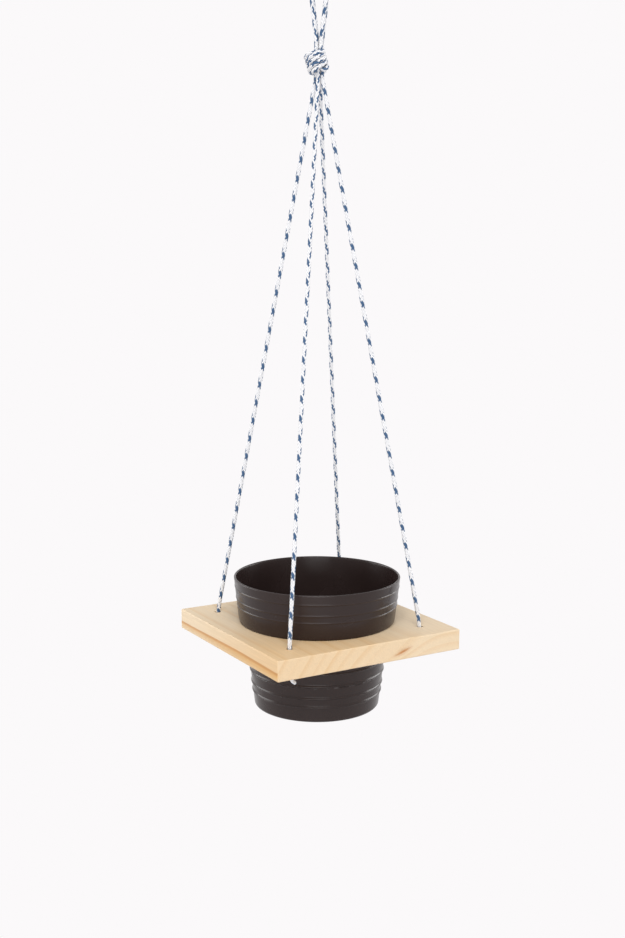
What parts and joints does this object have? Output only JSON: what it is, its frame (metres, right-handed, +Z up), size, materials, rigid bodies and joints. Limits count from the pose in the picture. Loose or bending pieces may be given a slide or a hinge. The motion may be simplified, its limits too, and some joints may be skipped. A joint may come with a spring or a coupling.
{
  "type": "wooden plant hanger",
  "caption": "Square pine board hung at its corners on knotted white cords from a loop, with a ribbed dark plant pot dropped through its round hole.",
  "frame": {"origin": "where the hook's bar touches the inside of the hanging loop", "axes": "+Z up, X and Y along the edges of the board, the front corner at -X -Y"},
  "size_m": [0.203, 0.203, 0.6968],
  "materials": {
    "pine": "planed and sanded, bare or thinly oiled",
    "pot_plastic": "satin moulded",
    "cord": "braided, white with blue tracers"
  },
  "bodies": {
    "hook_loop": {"loop_crown_near": "cord", "loop_crown_far": "cord"},
    "arms": {"loop_arms": "cord"},
    "neck": {"loop_neck": "cord"},
    "cradle": {"gathering_knot": "cord", "cord_leg_back": "cord", "cord_leg_left": "cord", "cord_leg_front": "cord", "cord_leg_right": "cord", "stopper_knot_back": "cord", "stopper_knot_left": "cord", "stopper_knot_front": "cord", "stopper_knot_right": "cord", "board": "pine"},
    "pot": {"pot": "pot_plastic"}
  },
  "joints": [
    {"name": "swing_along_bar", "type": "hinge", "parent": "hook_loop", "child": "arms", "pos_m": [0, 0, -0.007], "axis": [0.7071, -0.7071, 0], "range_deg": [-20, 20], "deforming": ["loop_arms"]},
    {"name": "turn", "type": "hinge", "parent": "arms", "child": "neck", "pos_m": [0, 0, -0.05], "axis": [0, 0, 1], "range_deg": [-90, 90], "deforming": ["loop_arms", "loop_neck"]},
    {"name": "swing_across_bar", "type": "hinge", "parent": "neck", "child": "cradle", "pos_m": [0, 0, -0.058], "axis": [0.7071, 0.7071, 0], "range_deg": [-20, 20], "deforming": ["loop_neck"]},
    {"name": "pot_lift", "type": "slide", "parent": "cradle", "child": "pot", "axis": [0, 0, 1], "range_m": [0, 0.045]}
  ]
}
